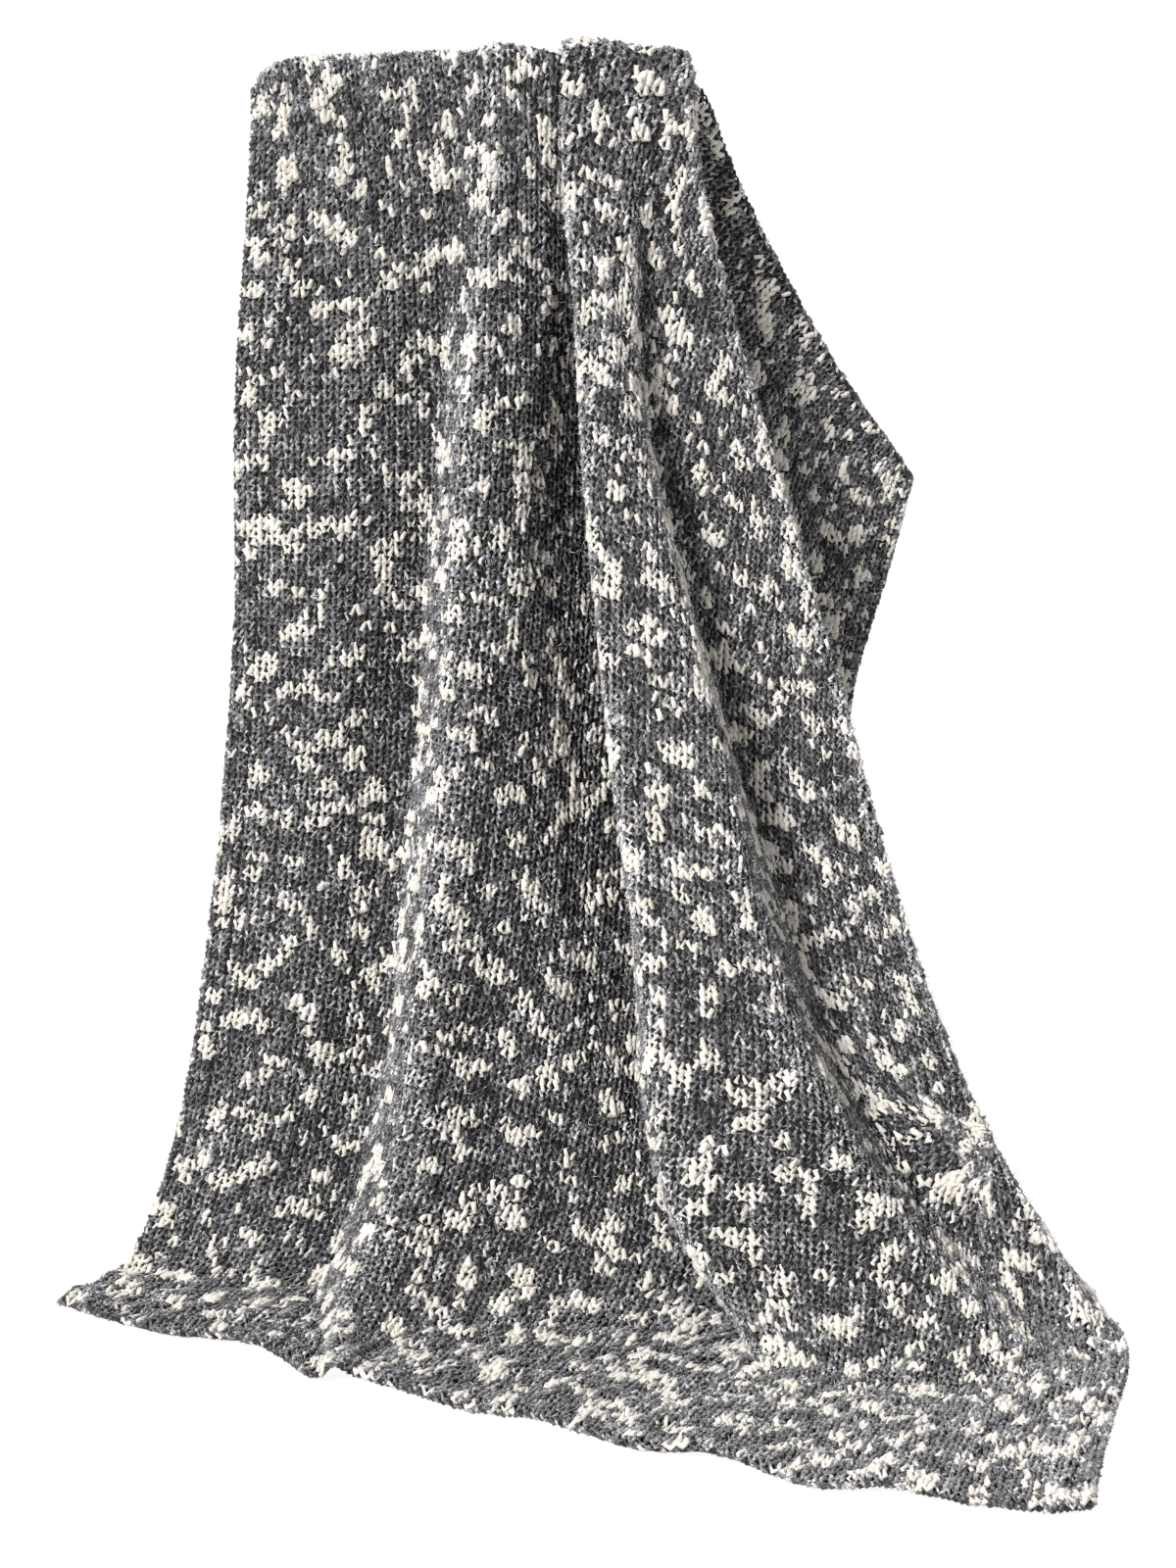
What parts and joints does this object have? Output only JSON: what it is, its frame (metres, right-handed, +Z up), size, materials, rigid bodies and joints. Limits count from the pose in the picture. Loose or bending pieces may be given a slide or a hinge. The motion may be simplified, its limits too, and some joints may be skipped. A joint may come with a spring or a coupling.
{
  "type": "boucle knit throw hanging from a rail",
  "caption": "Chunky marled boucle throw hung over a rail, in slanting folds that spread on the floor.",
  "frame": {"origin": "on the line where the cloth's underside meets the top of the rail, near the middle of the top fold", "axes": "+Z up, +X to the right of someone who faces the cloth, -Y out of its front"},
  "size_m": [1.1155, 0.8859, 1.2864],
  "materials": {
    "boucle_knit": "thick slubby yarn in charcoal and grey plies with warm off-white patches, soft and fuzzy"
  },
  "bodies": {
    "root": {"throw": "boucle_knit"}
  },
  "joints": []
}
